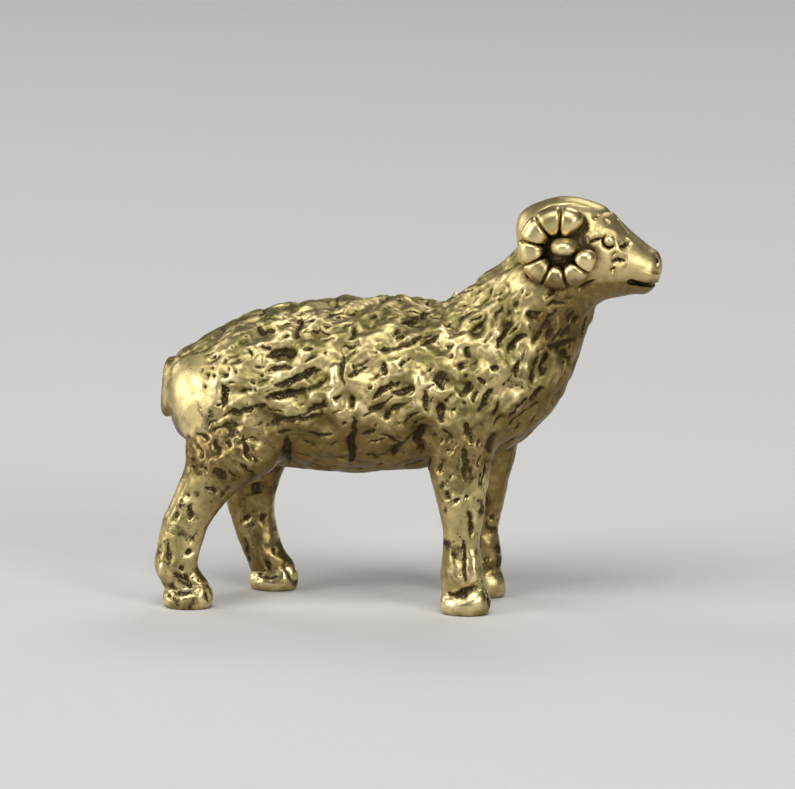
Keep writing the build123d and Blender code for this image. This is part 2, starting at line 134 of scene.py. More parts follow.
class Grid:
    """A box of evenly spaced samples."""

    def __init__(self, low, high, voxel):
        self.voxel = voxel
        self.start = np.floor(np.asarray(low) / voxel).astype(int)
        self.shape = tuple(np.ceil(np.asarray(high) / voxel).astype(int) - self.start + 1)

    def distance(self, name):
        """The signed distance to a solid, or None where it lies outside the box."""
        points = SOLIDS[name][0]
        low = self.start * self.voxel - BAND
        high = (self.start + self.shape) * self.voxel + BAND
        if np.any(points.max(0) < low) or np.any(points.min(0) > high):
            return None
        field = np.empty(self.shape, np.float32)
        shell(name, self.voxel).copyToArray(field, ijk=tuple(int(i) for i in self.start))
        return field

    def sample(self, field, points):
        """The field at points, linear between the samples."""
        place = points / self.voxel - self.start
        place = np.clip(place, 0, np.array(self.shape) - 1.001)
        cell = place.astype(int)
        share = place - cell
        total = np.zeros(len(points))
        for corner in np.ndindex(2, 2, 2):
            weight = np.prod(np.where(corner, share, 1 - share), axis=1)
            i, j, k = (cell + corner).T
            total += weight * field[i, j, k]
        return total

    def slope(self, field, points):
        """The unit direction in which the field grows fastest."""
        rise = np.empty((len(points), 3))
        for axis in range(3):
            step = np.zeros(3)
            step[axis] = self.voxel
            rise[:, axis] = self.sample(field, points + step) - self.sample(field, points - step)
        return rise / np.maximum(np.linalg.norm(rise, axis=1, keepdims=True), 1e-9)

    def surface(self, field):
        """The closed mesh of four-sided faces where the field is zero."""
        made = openvdb.FloatGrid(BAND)
        made.transform = openvdb.createLinearTransform(voxelSize=self.voxel)
        made.copyFromArray(np.ascontiguousarray(field), ijk=tuple(int(i) for i in self.start))
        points, quads = made.convertToQuads()
        return points.astype(float), quads[:, ::-1].astype(int)


def soft_min(a, b, k):
    """The lower of two fields, with a fillet of size k between them."""
    near = np.maximum(k - np.abs(a - b), 0) / k
    return np.minimum(a, b) - near * near * k / 4


def smooth(low, high, value):
    """A smooth step from 0 at low to 1 at high."""
    t = np.clip((value - low) / (high - low), 0, 1)
    return t * t * (3 - 2 * t)


def subdivided(points, quads):
    """Each four-sided face divided into four."""
    ends = np.stack([quads, np.roll(quads, -1, axis=1)], axis=2).reshape(-1, 2)
    key = ends.min(1) * len(points) + ends.max(1)
    edges, number = np.unique(key, return_inverse=True)
    halves = (points[edges // len(points)] + points[edges % len(points)]) / 2
    middles = points[quads].mean(1)
    edge = len(points) + number.reshape(-1, 4)
    centre = len(points) + len(edges) + np.arange(len(quads))
    parts = [np.stack([quads[:, i], edge[:, i], centre, edge[:, i - 1]], axis=1) for i in range(4)]
    return np.concatenate([points, halves, middles]), np.concatenate(parts)


def blurred(field, rounds, step):
    """A field evened out, which rounds off its sharp rims."""
    for n in range(rounds):
        for axis, size in enumerate(field.shape):
            place = np.arange(size)
            before = np.take(field, np.maximum(place - step, 0), axis)
            after = np.take(field, np.minimum(place + step, size - 1), axis)
            field = 0.5 * field + 0.25 * (before + after)
    return field


class Piece:
    """Points, faces and outward directions of one piece, before and after it is carved."""

    def __init__(self, name, points, faces, normals, bare, past):
        self.name = name
        self.points = points
        self.faces = faces
        self.normals = normals
        self.bare = bare
        self.past = past


def cast_piece(name):
    """A piece cut from the blended figure, along the seam of its own solid."""
    points = SOLIDS[name][0]
    grid = Grid(points.min(0) - ROOM, points.max(0) + ROOM, VOXEL[name])
    whole = None
    others = None
    for node in BODY:
        field = grid.distance(node)
        if field is None:
            continue
        if node == "head":
            for inset in SET_IN:
                filling = grid.distance(inset)
                if filling is not None:
                    field = soft_min(field, filling + SOCKET_DEPTH, SOCKET_BLEND)
        whole = field if whole is None else soft_min(whole, field, BLEND[node])
        if node == name:
            own = field
        else:
            others = field if others is None else np.minimum(others, field)
    if name in ("neck", "head"):
        step = round(BODY_VOXEL / grid.voxel)
        x, z = ((grid.start[i] + np.arange(grid.shape[i])) * grid.voxel for i in (0, 2))
        height = (x[:, None] - NECK_FOOT[0]) * NECK_LINE[0] + (z - NECK_FOOT[2]) * NECK_LINE[2]
        share = smooth(*NAPE_FRONT, x)[:, None] * smooth(*NAPE_HEIGHT, height)
        share = share[:, None, :].astype(np.float32)
        whole = whole + share * (blurred(whole, NAPE_ROUNDS, step) - whole)
    border = own - others
    points, faces = grid.surface(np.maximum(whole, border - LAP))
    if name in DIVIDED:
        points, faces = subdivided(points, faces)
    normals = grid.slope(whole, points)
    depth = grid.sample(whole, points)
    bare = smooth(-0.3, -0.1, depth)
    points = points - normals * (depth * bare)[:, None]
    past = grid.sample(border, points)
    return Piece(name, points, faces, normals, bare, past)


pieces = {name: cast_piece(name) for name in BODY}

# The whole figure as one coarse field, for how open each place lies
all_low = np.min([points.min(0) for points, corners in SOLIDS.values()], axis=0)
all_high = np.max([points.max(0) for points, corners in SOLIDS.values()], axis=0)
coarse = Grid(all_low - 2 * ROOM, all_high + 2 * ROOM, FIGURE_VOXEL)
figure = None
for node in SOLIDS:
    field = coarse.distance(node)
    figure = field if figure is None else np.minimum(figure, field)


def closed_in(points, normals, steps=(0.4, 0.8, 1.2)):
    """0 where a place lies open, 1 where other forms stand round it."""
    total = np.zeros(len(points))
    for step in steps:
        found = coarse.sample(figure, points + normals * step)
        total += np.clip((step - found) / step, 0, 1)
    return total / len(steps)


# The relief, as heights over all cast pieces

P = np.concatenate([pieces[name].points for name in BODY])
N = np.concatenate([pieces[name].normals for name in BODY])
by_x = np.argsort(P[:, 0], kind="stable")
SORTED_X = P[by_x, 0]
raised = np.zeros(len(P))
cut = np.zeros(len(P))
valley = np.zeros(len(P))

NOISE_CELLS = 48
NOISE = rng.random((NOISE_CELLS,) * 3)


def noise(points, size):
    """Smooth noise from 0 to 1 with lumps of a given size."""
    place = points / size + 200
    cell = np.floor(place).astype(int)
    t = place - cell
    t = t * t * t * (t * (6 * t - 15) + 10)
    total = np.zeros(len(points))
    for corner in np.ndindex(2, 2, 2):
        weight = np.prod(np.where(corner, t, 1 - t), axis=1)
        i, j, k = ((cell + corner) % NOISE_CELLS).T
        total += weight * NOISE[i, j, k]
    return total


# Gouges wander and vary in width like cuts made by hand
WANDER = 0.34
wobble = [noise(P + shift, 0.9) + 0.5 * noise(P + shift, 0.4) - 0.75 for shift in (0, 31, 67)]
W = P + WANDER * np.stack(wobble, axis=1)
breadth = 0.55 + 0.9 * noise(P + 11, 0.7)


def patch(low, high):
    """The points inside a box."""
    picked = by_x[np.searchsorted(SORTED_X, low[0]):np.searchsorted(SORTED_X, high[0])]
    q = P[picked]
    inside = (q[:, 1] > low[1]) & (q[:, 1] < high[1]) & (q[:, 2] > low[2]) & (q[:, 2] < high[2])
    return picked[inside]


solid_points = []
solid_faces = []
count = 0
for points, corners in SOLIDS.values():
    solid_points.append(points)
    solid_faces.append(corners + count)
    count += len(points)
target = BVHTree.FromPolygons(np.concatenate(solid_points).tolist(), np.concatenate(solid_faces).tolist())


def spot(px, py):
    """The place on the figure that a pixel of the photograph shows."""
    line = sight(px, py)
    hit = target.ray_cast(Vector(EYE_POINT), Vector(line))[0]
    if hit is None:
        hit = target.find_nearest(Vector(EYE_POINT + line * DISTANCE))[0]
    return np.array(hit)


def trace(pixels):
    """A path over the figure along a line of pixels, with points close together."""
    path = []
    for (ax, ay), (bx, by) in zip(pixels, pixels[1:]):
        steps = max(1, int(np.hypot(bx - ax, by - ay) // 6))
        for n in range(steps):
            path.append(spot(ax + (bx - ax) * n / steps, ay + (by - ay) * n / steps))
    path.append(spot(*pixels[-1]))
    return np.array(path)


def along(path, reach, places):
    """The points near a path, how far they are from it, and their share of the way along it."""
    picked = patch(path.min(0) - reach, path.max(0) + reach)
    q = places[picked]
    best = np.full(len(q), np.inf)
    share = np.zeros(len(q))
    spans = np.linalg.norm(np.diff(path, axis=0), axis=1)
    ends = np.concatenate([[0], np.cumsum(spans)])
    for a, b, start, span in zip(path, path[1:], ends, spans):
        if span == 0:
            continue
        t = np.clip((q - a) @ (b - a) / span**2, 0, 1)
        d = np.linalg.norm(q - a - t[:, None] * (b - a), axis=1)
        closer = d < best
        best[closer] = d[closer]
        share[closer] = (start + t[closer] * span) / ends[-1]
    return picked, best, share


# A gouge is a sharp cut in a valley, each with its depth as a share of the gouge's
CUT_SHARE, VALLEY_SHARE, VALLEY_WIDTH = 1.25, 0.4, 2.2


def groove(path, width, depth, steady=False):
    """A gouge along a path: a narrow cut in a wider valley, shallow at its ends."""
    picked, d, share = along(path, 4 * width + 0.2, P if steady else W)
    fade = depth * (1 - np.abs(2 * share - 1) ** 3)
    if not steady:
        d = d / breadth[picked]
    sharp = np.exp(-1.3 * np.sqrt((d / width) ** 2 + 0.02))
    cut[picked] = np.maximum(cut[picked], CUT_SHARE * fade * sharp)
    wide = np.exp(-((d / (VALLEY_WIDTH * width)) ** 2))
    valley[picked] = np.maximum(valley[picked], VALLEY_SHARE * fade * wide)


def ridge(path, width, height, steady=False):
    """A rounded ridge along a path."""
    picked, d, share = along(path, 3 * width, P if steady else W)
    fade = 1 - np.abs(2 * share - 1) ** 3
    raised[picked] += height * fade * np.exp(-((d / width) ** 2))


def lump(middle, radius, height):
    """A soft swelling."""
    picked = patch(middle - 3 * radius, middle + 3 * radius)
    d = np.linalg.norm(P[picked] - middle, axis=1)
    raised[picked] += height * np.exp(-((d / radius) ** 2))


def pit(middle, radius, depth):
    """A small hole."""
    picked = patch(middle - 3 * radius - 0.2, middle + 3 * radius + 0.2)
    d = np.linalg.norm(W[picked] - middle, axis=1)
    cut[picked] = np.maximum(cut[picked], depth * np.exp(-((d / radius) ** 4)))


MIRROR = np.array([1, -1, 1])


def far_side(path, slip):
    """The same path on the other side of the figure, slipped a little and set on its surface."""
    moved = path * MIRROR + np.array([slip[0], 0, slip[1]])
    return np.array([np.array(target.find_nearest(Vector(q))[0]) for q in moved])


# Gouges in the fleece on the right side, by the pixels they run through, with half width in pixels
# and depth in millimetres
FLEECE_GOUGES = [
    # Rump, haunch and hip
    ([(223, 382), (225, 395), (222, 412)], 3.5, 0.34),
    ([(202, 430), (215, 421), (230, 413), (246, 402)], 3, 0.22),
    ([(228, 414), (250, 411), (266, 404)], 4, 0.3),
    ([(206, 433), (225, 425), (245, 425)], 3, 0.22),
    ([(243, 431), (246, 446), (247, 462)], 3, 0.3),
    ([(234, 446), (247, 440), (259, 436)], 2.5, 0.24),
    ([(235, 429), (244, 440)], 2, 0.2),
    ([(250, 452), (257, 464)], 2, 0.18),
    ([(213, 439), (215, 450), (218, 459)], 3.2, 0.28),
    ([(255, 324), (262, 332), (276, 328)], 4, 0.22),
    ([(256, 313), (268, 312)], 4, 0.2),
    ([(247, 349), (252, 358)], 3, 0.2),
    ([(259, 344), (271, 349)], 3, 0.24),
    # Loin and flank
    ([(303, 312), (298, 328), (292, 346)], 4, 0.24),
    ([(262, 358), (280, 352), (298, 354)], 4.5, 0.32),
    ([(267, 371), (280, 367), (293, 364)], 3, 0.26),
    ([(270, 386), (290, 381), (310, 375), (324, 369)], 3.5, 0.34),
    ([(258, 400), (275, 397), (293, 393), (312, 389)], 4, 0.36),
    ([(262, 428), (285, 420), (303, 420), (327, 413)], 4, 0.3),
    ([(303, 374), (318, 368)], 3, 0.26),
    ([(300, 395), (312, 386), (320, 379)], 2.5, 0.2),
    ([(302, 412), (315, 408), (330, 405)], 3, 0.26),
    ([(309, 334), (320, 328), (331, 335)], 2.5, 0.22),
    ([(325, 322), (333, 314), (345, 310)], 4, 0.16),
    ([(358, 324), (355, 334), (348, 341)], 3, 0.24),
    ([(339, 347), (352, 346), (361, 340)], 2.5, 0.22),
    ([(344, 360), (352, 353), (358, 347)], 2.5, 0.2),
    ([(350, 360), (354, 368), (363, 366), (371, 357)], 2, 0.2),
    ([(346, 377), (354, 373), (362, 371)], 3.5, 0.24),
    ([(343, 350), (343, 368), (345, 390)], 2.5, 0.2),
    ([(326, 398), (322, 405), (319, 416)], 2.5, 0.22),
    ([(374, 347), (390, 348), (406, 344), (422, 337), (441, 334)], 2.5, 0.24),
    ([(383, 360), (386, 376)], 4, 0.3),
    ([(369, 401), (384, 389), (401, 383)], 3.5, 0.34),
    ([(390, 393), (402, 390), (417, 388)], 3, 0.3),
    ([(367, 411), (379, 406), (389, 402)], 3, 0.3),
    ([(384, 422), (390, 412), (401, 405), (414, 400)], 3.5, 0.32),
    ([(400, 426), (410, 418), (422, 411)], 3, 0.26),
    ([(393, 326), (409, 320), (426, 312), (441, 307)], 4.5, 0.22),
    ([(392, 337), (402, 329)], 3, 0.2),
    ([(349, 319), (358, 310), (374, 305)], 3, 0.2),
    ([(399, 367), (411, 359)], 3, 0.24),
    ([(367, 388), (376, 384)], 2, 0.2),
    ([(425, 388), (427, 402), (425, 414)], 3, 0.28),
    # Belly
    ([(289, 431), (286, 448), (291, 464)], 4, 0.34),
    ([(302, 433), (318, 437), (336, 435)], 2.5, 0.24),
    ([(352, 411), (353, 430), (352, 450), (350, 467)], 3.2, 0.34),
    ([(358, 436), (372, 433), (381, 421)], 2.5, 0.22),
    ([(377, 431), (391, 440), (403, 443)], 2, 0.26),
    ([(393, 458), (398, 446), (408, 440)], 3.5, 0.3),
    ([(360, 455), (378, 456), (392, 453)], 2, 0.2),
    ([(302, 463), (322, 468), (346, 468)], 1.8, 0.16),
    ([(424, 423), (418, 438), (420, 455)], 3.5, 0.32),
    # Shoulder
    ([(440, 371), (440, 380), (443, 391)], 5, 0.36),
    ([(443, 403), (441, 413), (440, 424)], 4.5, 0.3),
    ([(420, 346), (431, 340), (443, 334)], 3, 0.22),
    ([(455, 321), (464, 315), (476, 308)], 3, 0.2),
    ([(471, 333), (480, 326), (485, 312)], 2.5, 0.22),
    ([(467, 345), (468, 352), (471, 358)], 3, 0.26),
    ([(459, 360), (463, 368)], 2.5, 0.26),
    ([(460, 396), (467, 391), (471, 383)], 2.5, 0.24),
    ([(478, 378), (482, 383), (488, 384)], 3.5, 0.3),
    ([(489, 371), (498, 367)], 3, 0.26),
    ([(471, 401), (480, 392)], 2, 0.22),
    ([(481, 409), (487, 398), (492, 389)], 2.8, 0.36),
    ([(491, 417), (497, 408), (501, 399)], 2.3, 0.28),
    ([(465, 418), (468, 432), (470, 446)], 4, 0.3),
    ([(440, 427), (447, 435), (452, 444)], 3, 0.22),
    ([(496, 349), (502, 335), (509, 320)], 3, 0.38),
    ([(506, 350), (516, 341), (530, 333)], 3, 0.36),
    ([(493, 320), (498, 312), (503, 307)], 3, 0.24),
    ([(516, 380), (517, 368), (520, 355)], 3, 0.3),
    ([(534, 386), (534, 372), (541, 354)], 3, 0.32),
    ([(543, 379), (545, 362), (549, 349)], 2.6, 0.32),
    ([(529, 404), (538, 395), (548, 387)], 3, 0.3),
    ([(517, 410), (523, 403), (528, 398)], 2.5, 0.24),
    ([(508, 428), (519, 416), (531, 409)], 2.5, 0.24),
    ([(504, 446), (513, 441), (522, 438)], 2, 0.22),
    ([(548, 390), (560, 370), (566, 356)], 1.6, 0.12),
    # Neck and throat
    ([(524, 286), (519, 296), (513, 309)], 3, 0.28),
    ([(509, 283), (509, 294)], 2, 0.18),
    ([(439, 301), (460, 293), (480, 284), (494, 270)], 1.5, 0.1),
    ([(454, 304), (470, 297), (490, 286), (505, 268)], 2, 0.12),
    ([(524, 311), (534, 316), (546, 312)], 3.5, 0.3),
    ([(539, 330), (546, 322), (557, 319)], 3, 0.26),
    ([(547, 342), (548, 332), (551, 324)], 2.5, 0.26),
    ([(559, 337), (570, 326), (581, 314)], 3, 0.28),
    ([(544, 346), (560, 345), (577, 340)], 3.5, 0.28),
    ([(545, 305), (553, 302), (566, 305)], 2.5, 0.24),
    ([(561, 349), (567, 358), (573, 360)], 2.5, 0.24),
]
# Swellings of the fleece, by pixel, with radius in pixels and height in millimetres
FLEECE_LUMPS = [
    ((228, 355), 15, 0.16), ((243, 328), 14, 0.14), ((281, 330), 13, 0.14), ((320, 320), 12, 0.12),
    ((350, 306), 14, 0.12), ((410, 303), 14, 0.1), ((302, 352), 7, 0.16), ((250, 448), 20, 0.26),
    ((308, 450), 10, 0.18), ((332, 452), 12, 0.22), ((376, 448), 13, 0.2), ((405, 428), 9, 0.16),
    ((400, 370), 10, 0.12), ((377, 335), 13, 0.12), ((425, 330), 11, 0.12), ((462, 340), 12, 0.14),
    ((506, 366), 18, 0.18), ((460, 305), 14, 0.12), ((540, 300), 8, 0.18), ((560, 327), 9, 0.2),
    ((568, 302), 8, 0.16), ((560, 368), 11, 0.14), ((590, 320), 8, 0.12), ((525, 325), 9, 0.14),
    ((528, 372), 7, 0.14), ((285, 405), 9, 0.1), ((312, 398), 8, 0.16), ((325, 425), 10, 0.14),
]
# Ridges of the fleece: the columns of wool on the flank and the lobe above the foreleg
FLEECE_RIDGES = [
    ([(334, 350), (335, 372), (334, 402), (338, 434)], 6.5, 0.24),
    ([(421, 358), (419, 376), (416, 398)], 6.5, 0.2),
    ([(514, 388), (511, 402), (503, 418)], 6, 0.22),
    ([(362, 400), (364, 415), (362, 428)], 5, 0.16),
    ([(456, 372), (452, 390), (452, 404)], 5, 0.14),
]
# Oval craters with a raised rim, by pixel, with the rim's radius in pixels
CRATERS = [((352, 403), 8)]
CRATER_FORM = np.array([1.35, 1, 0.7])
CRATER_RIM, CRATER_DEPTH = 0.1, 0.2
# Small holes, by pixel, with the radius in pixels
PIT_DEPTH = 0.16
PITS = [
    ((213, 357), 3), ((208, 362), 2), ((203, 370), 2.2), ((208, 377), 2.8), ((215, 377), 2.6),
    ((205, 386), 2), ((226, 362), 3), ((229, 369), 2.5), ((236, 369), 3), ((212, 367), 2),
    ((232, 347), 1.8), ((246, 335), 1.8), ((234, 389), 2), ((254, 382), 2.4), ((256, 391), 2.2),
    ((263, 376), 2.2), ((466, 377), 2.8), ((508, 363), 2), ((504, 384), 2.5), ((510, 380), 2),
    ((465, 404), 3), ((556, 374), 2), ((521, 388), 2), ((453, 355), 2), ((188, 437), 3.5),
    ((193, 459), 2.2), ((193, 468), 2.2), ((202, 457), 2), ((201, 466), 2), ((325, 352), 1.6),
    ((440, 442), 2), ((447, 450), 2), ((499, 300), 2), ((563, 362), 2.2),
]

# Creases and hollows of the face, the same on both sides
FACE_GOUGES = [
    ([(535, 213), (550, 205), (572, 203), (590, 206)], 1.2, 0.08),
    # Fine lines over the brow
    ([(597, 201), (607, 207), (616, 215), (623, 225), (629, 234)], 1.5, 0.16),
    ([(604, 219), (610, 223)], 1.2, 0.12),
    # Behind the eye, under it and in front of it
    ([(589, 242), (596, 239), (604, 237)], 1.6, 0.24),
    ([(603, 240), (605, 245), (610, 247), (616, 245)], 1.4, 0.2),
    ([(619, 247), (625, 245), (630, 240)], 2.4, 0.26),
    ([(611, 262), (618, 259), (627, 261)], 3, 0.24),
    ([(610, 271), (616, 267)], 2, 0.2),
    ([(612, 256), (617, 251)], 1.6, 0.14),
    # Between the horn and the cheek
    ([(594, 246), (595, 258), (592, 268)], 3, 0.28),
    ([(584, 212), (588, 221), (588, 232)], 2.5, 0.12),
    ([(575, 290), (587, 284), (598, 279)], 2.5, 0.2),
    # Mouth and nostril
    ([(628, 280), (638, 282), (650, 286)], 2.4, 0.3),
    ([(655, 253), (658, 263)], 1.5, 0.2),
]
FACE_RIDGES = [
    ([(597, 231), (606, 228), (614, 230), (619, 236)], 3, 0.07),
    ([(626, 275), (645, 273), (663, 276)], 2.4, 0.12),
    ([(630, 287), (645, 291), (656, 292)], 2, 0.1),
]
# Sinews, hollows and casting flaws of the legs, by what shows of each leg
LEG_GOUGES = [
    # Right foreleg
    ([(463, 440), (463, 458), (465, 482)], 4.2, 0.26),
    ([(457, 448), (457, 470), (461, 486)], 2.2, 0.14),
    ([(487, 458), (485, 474), (482, 492)], 2.8, 0.2),
    ([(468, 510), (471, 524), (473, 540)], 3.1, 0.26),
    ([(463, 538), (464, 560), (465, 588)], 3.1, 0.26),
    ([(444, 592), (456, 595), (470, 591), (481, 585)], 3.1, 0.26),
    ([(446, 489), (448, 498), (452, 500)], 2.8, 0.2),
    ([(455, 499), (459, 503)], 3.5, 0.2),
    ([(464, 496), (470, 498)], 2.8, 0.18),
    ([(476, 505), (479, 530), (480, 560)], 2.5, 0.14),
    ([(484, 588), (488, 598), (490, 607)], 2.2, 0.2),
    # Left foreleg
    ([(484, 470), (486, 500), (487, 545)], 3.5, 0.2),
    ([(482, 570), (492, 569), (500, 576)], 2.5, 0.22),
    ([(490, 514), (494, 518)], 3.5, 0.2),
    # Right hind leg
    ([(187, 503), (189, 512), (191, 522)], 4.2, 0.26),
    ([(174, 512), (179, 516)], 4.2, 0.2),
    ([(203, 487), (210, 490), (216, 496)], 4.9, 0.26),
    ([(213, 468), (220, 475), (228, 482)], 5.6, 0.26),
    ([(183, 494), (188, 497)], 2.8, 0.16),
    ([(167, 540), (168, 552), (169, 566)], 4.9, 0.26),
    ([(187, 551), (190, 557)], 3.5, 0.2),
    ([(197, 528), (193, 538), (190, 548)], 2.8, 0.14),
    ([(173, 575), (184, 580), (197, 588)], 5.6, 0.3),
    ([(178, 567), (186, 572)], 3.5, 0.22),
    ([(163, 591), (176, 592), (190, 591), (201, 588)], 2.8, 0.26),
    ([(163, 592), (168, 598)], 3.1, 0.24),
    ([(204, 592), (209, 598), (212, 604)], 2.1, 0.24),
    # Left hind leg
    ([(240, 520), (245, 545), (249, 580)], 4.2, 0.26),
    ([(244, 515), (249, 522)], 4.2, 0.22),
    ([(261, 517), (266, 520)], 3.5, 0.2),
    ([(276, 530), (279, 543), (274, 556)], 2.8, 0.18),
    ([(265, 566), (271, 561)], 4.2, 0.22),
    ([(252, 574), (270, 578), (284, 575)], 2.8, 0.2),
    ([(255, 484), (258, 494)], 5.6, 0.3),
    ([(284, 560), (291, 575), (295, 586)], 2.5, 0.16),
]
LEG_RIDGES = [
    ([(452, 545), (452, 565), (453, 585)], 5.5, 0.14),
    ([(474, 550), (475, 568), (474, 584)], 4.5, 0.14),
    ([(451, 450), (451, 466), (453, 482)], 5, 0.14),
    ([(475, 455), (475, 475), (473, 492)], 5, 0.1),
    ([(160, 560), (160, 572), (163, 583)], 5, 0.14),
]
# Places on the back where one lock of wool ends and the next begins, as x and how far it slants
BACK_STEPS = [(-14.6, 0.25), (-12.0, -0.2), (-8.9, 0.3), (-5.9, -0.15), (-1.9, 0.25), (1.5, -0.2)]
BACK_HALF_WIDTH, SKY = 3.6, 60
# The groove round the back of each eye
SOCKET_RADIUS, SOCKET_WIDTH, SOCKET_CUT = 0.52, 0.13, 0.22


def leg_middles(name):
    """How far forward the middle of a leg lies at each height."""
    points = np.concatenate([SOLIDS[name][0], SOLIDS[name.replace("leg", "_hoof")][0]])
    heights = np.arange(0.5, 14, 0.5)
    return heights, [np.mean([q[0] for q in points if abs(q[2] - h) < 0.6]) for h in heights]


LEG_MIDDLES = {name: leg_middles(name) for name in LEGS}


def other_leg(path):
    """The same path on the other leg of the pair."""
    end = "fore" if path[:, 0].mean() > -4 else "hind"
    sides = ("right", "left") if path[:, 1].mean() < 0 else ("left", "right")
    here, there = (LEG_MIDDLES[f"{side}_{end}leg"] for side in sides)
    moved = path * MIRROR
    moved[:, 0] += np.interp(path[:, 2], *there) - np.interp(path[:, 2], *here)
    return moved


for pixels, width, depth in FACE_GOUGES:
    path = trace(pixels)
    groove(path, width * PIXEL, depth, steady=True)
    groove(path * MIRROR, width * PIXEL, depth, steady=True)
for pixels, width, height in FACE_RIDGES:
    path = trace(pixels)
    ridge(path, width * PIXEL, height, steady=True)
    ridge(path * MIRROR, width * PIXEL, height, steady=True)
for side in ("right", "left"):
    low, high = (np.array(corner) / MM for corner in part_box(f"{side}_eye"))
    centre = (low + high) / 2
    picked = patch(centre - 1.5, centre + 1.5)
    gap = P[picked] - centre
    d = np.linalg.norm(gap, axis=1)
    behind = smooth(-0.5, 0.6, -(0.8 * gap[:, 0] + 0.6 * gap[:, 2]) / np.maximum(d, 0.1))
    raised[picked] *= smooth(0.4, 0.75, d)
    socket = SOCKET_CUT * behind * np.exp(-(((d - SOCKET_RADIUS) / SOCKET_WIDTH) ** 2))
    cut[picked] = np.maximum(cut[picked], socket)
for pixels, width, depth in LEG_GOUGES:
    path = trace(pixels)
    groove(path, width * PIXEL, depth)
    groove(other_leg(path), width * PIXEL, depth)
for pixels, width, height in LEG_RIDGES:
    path = trace(pixels)
    ridge(path, width * PIXEL, height)
    ridge(other_leg(path), width * PIXEL, height)
for x, slant in BACK_STEPS:
    path = []
    for y in np.linspace(-BACK_HALF_WIDTH, BACK_HALF_WIDTH, 9):
        above = Vector((x + slant * y, y, SKY))
        path.append(np.array(target.ray_cast(above, Vector((0, 0, -1)))[0]))
    groove(np.array(path), 0.3, 0.14)
    ridge(np.array(path) + np.array([1.0, 0, 0]), 0.8, 0.1)
for pixels, width, depth in FLEECE_GOUGES:
    path = trace(pixels)
    groove(path, width * PIXEL, depth)
    slip = rng.uniform(-0.7, 0.7, 2)
    groove(far_side(path, slip), width * PIXEL, depth)
for pixel, radius, height in FLEECE_LUMPS:
    middle = spot(*pixel)
    lump(middle, radius * PIXEL, height)
    lump(middle * MIRROR, radius * PIXEL, height)
for pixels, width, height in FLEECE_RIDGES:
    path = trace(pixels)
    ridge(path, width * PIXEL, height)
    ridge(path * MIRROR, width * PIXEL, height)
for pixel, radius in CRATERS:
    middle = spot(*pixel)
    for centre in (middle, middle * MIRROR):
        picked = patch(centre - 2, centre + 2)
        d = np.linalg.norm((W[picked] - centre) * CRATER_FORM, axis=1) / PIXEL
        raised[picked] += CRATER_RIM * np.exp(-(((d - radius) / 3) ** 2))
        hole = np.exp(-((d / (0.5 * radius)) ** 4))
        cut[picked] = np.maximum(cut[picked], CRATER_DEPTH * hole)
for pixel, radius in PITS:
    middle = spot(*pixel)
    pit(middle, radius * PIXEL, PIT_DEPTH)
    pit(far_side(middle[None], rng.uniform(-0.5, 0.5, 2))[0], radius * PIXEL, PIT_DEPTH)

# Where the fleece grows, and where the rump is left smooth
up_neck = (P - NECK_FOOT) @ NECK_LINE
woolly = smooth(10.0, 12.4, P[:, 2]) * (1 - smooth(6.4, 7.6, up_neck))
PAD_PX = (190, 390)
PAD_SIZE = np.array([3.0, 3.2, 4.3])
PAD_RISE = 0.12
pad_middle = spot(*PAD_PX)
aside = np.abs(P[:, 1])
pad_place = (np.stack([P[:, 0], -aside, P[:, 2]], axis=1) - pad_middle) / PAD_SIZE
pad = 1 - smooth(0.8, 1.0, np.linalg.norm(pad_place, axis=1))
woolly = woolly * (1 - pad)

# The lie of the wool: how it slopes at some places of the side, as x, z and degrees
LIE = np.array([
    (-18, 22, 45), (-13, 23, 20), (-8, 18, 24), (-14, 16, 25), (-2, 17, 28), (-5, 12, 8), (0, 23, 12),
    (4, 18, 60), (5, 23, 35), (10, 25, 58), (11, 19, 68), (-15, 13, -50), (6, 14, 70), (13, 24, 55),
])


def lie_of(points):
    """The direction in which the wool runs over the surface."""
    gap = (points[:, None, 0] - LIE[:, 0]) ** 2 + (points[:, None, 2] - LIE[:, 1]) ** 2
    weight = 1 / (gap + 2.0) ** 2
    slope = radians(1) * (weight @ LIE[:, 2]) / weight.sum(1)
    return np.stack([np.cos(slope), np.zeros(len(points)), np.sin(slope)], axis=1)


run = lie_of(P)
run -= N * np.sum(run * N, axis=1, keepdims=True)
run /= np.maximum(np.linalg.norm(run, axis=1, keepdims=True), 1e-6)
over = np.cross(N, run)

# Smaller gouges scattered over all the wool, clear of each other and of the ones placed above: their
# distance from each other along, across and off the wool, and the ranges of their sizes
TRIES = 9000
APART = (1.9, 0.8, 1.5)
HALF_LENGTH, BEND, TURN = (0.35, 0.95), (-0.15, 0.15), 0.22
HALF_WIDTH, DEPTH = (0.08, 0.17), (0.12, 0.28)
tries = rng.permutation(np.flatnonzero((woolly > 0.5) & (N[:, 2] > -0.9)))[:TRIES]
kept = []
for i in tries:
    if cut[i] > 0.05:
        continue
    if kept:
        gap = P[kept] - P[i]
        ways = zip((run[i], over[i], N[i]), APART)
        if sum((gap @ way / reach) ** 2 for way, reach in ways).min() < 1:
            continue
    kept.append(i)
for i in kept:
    half = rng.uniform(*HALF_LENGTH)
    bend = rng.uniform(*BEND)
    turn = rng.normal(0, TURN)
    heading = run[i] * cos(turn) + over[i] * sin(turn)
    cross = np.cross(N[i], heading)
    steps = np.linspace(-1, 1, 5)[:, None]
    path = P[i] + heading * steps * half + cross * bend * steps**2
    path = path - N[i] * (steps * half) ** 2 / 12
    groove(path, rng.uniform(*HALF_WIDTH), rng.uniform(*DEPTH))

